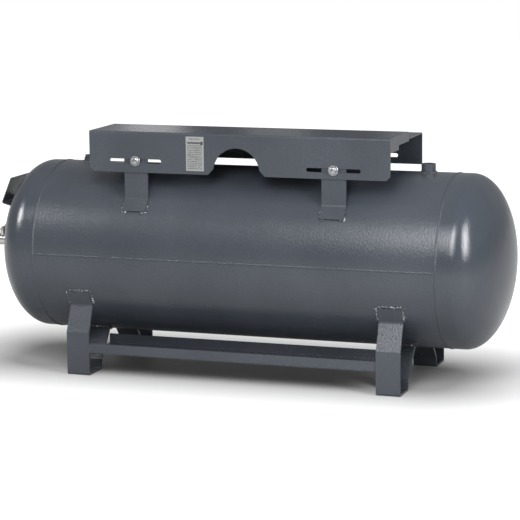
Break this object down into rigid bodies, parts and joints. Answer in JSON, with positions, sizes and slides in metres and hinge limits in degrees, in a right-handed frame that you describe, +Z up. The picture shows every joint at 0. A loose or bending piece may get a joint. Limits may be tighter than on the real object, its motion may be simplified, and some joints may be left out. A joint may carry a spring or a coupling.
{
  "type": "air receiver tank",
  "caption": "Horizontal air receiver with dished ends on folded feet, slotted compressor platform on top, outlet ball valve, drain cock, gauge and safety valve.",
  "frame": {"origin": "on the floor, at the centre of the four foot holes", "axes": "+X along the tank away from the outlet valve, +Z up, the front of the tank faces -Y"},
  "size_m": [1.623, 0.5032, 0.7135],
  "materials": {
    "paint": "semi-gloss anthracite enamel with a fine orange peel",
    "zinc": "bright zinc plating",
    "nickel": "nickel plated brass",
    "steel": "plain stainless steel",
    "grip": "dipped black vinyl",
    "plate": "satin foil",
    "brass": "turned brass",
    "black_case": "black enamel",
    "black_plug": "blackened iron",
    "dial": "white dial",
    "lens": "clear"
  },
  "bodies": {
    "tank": {"drain_body": "brass", "drain_socket": "paint", "end_plate_left": "paint", "end_plate_right": "paint", "foot_front_left": "paint", "foot_front_right": "paint", "foot_rear_left": "paint", "foot_rear_right": "paint", "gauge_body": "black_case", "gauge_dial": "dial", "gauge_lens": "lens", "gauge_socket": "paint", "girth_weld_left": "paint", "girth_weld_right": "paint", "head_left": "paint", "head_right": "paint", "name_plate": "plate", "outlet_socket": "paint", "plate_bracket": "paint", "platform_bolts": "zinc", "platform_front": "paint", "platform_nuts": "zinc", "platform_top": "paint", "platform_washers": "zinc", "port_plug": "black_plug", "port_socket": "paint", "post_front_left": "paint", "post_front_right": "paint", "post_rear_left": "paint", "post_rear_right": "paint", "rail": "paint", "rating_label": "plate", "relief_body": "brass", "relief_socket": "paint", "seam_weld": "paint", "shell": "paint", "spare_socket": "paint", "valve_body": "nickel", "valve_gland": "nickel"},
    "lever": {"valve_ball": "nickel", "valve_stem": "nickel", "valve_lever": "steel", "lever_grip": "grip", "lever_nut": "zinc"},
    "drain_key": {"drain_key": "brass"},
    "relief_pull": {"relief_pull": "steel"},
    "gauge_needle": {"gauge_needle": "grip"}
  },
  "joints": [
    {"name": "lever_turn", "type": "hinge", "parent": "tank", "child": "lever", "pos_m": [-0.82, 0, 0.349], "axis": [0, 0, 1], "range_deg": [0, 90]},
    {"name": "drain_turn", "type": "hinge", "parent": "tank", "child": "drain_key", "pos_m": [-0.505, 0, 0.062], "axis": [0, 1, 0], "range_deg": [0, 90]},
    {"name": "relief_lift", "type": "slide", "parent": "tank", "child": "relief_pull", "axis": [-1, 0, 0], "range_m": [0, 0.004], "stiffness_N_per_m": 2000, "springref_m": -0.001},
    {"name": "needle_turn", "type": "hinge", "parent": "tank", "child": "gauge_needle", "pos_m": [-0.779, 0.112, 0.411], "axis": [-1, 0, 0], "range_deg": [-270, 0]}
  ]
}
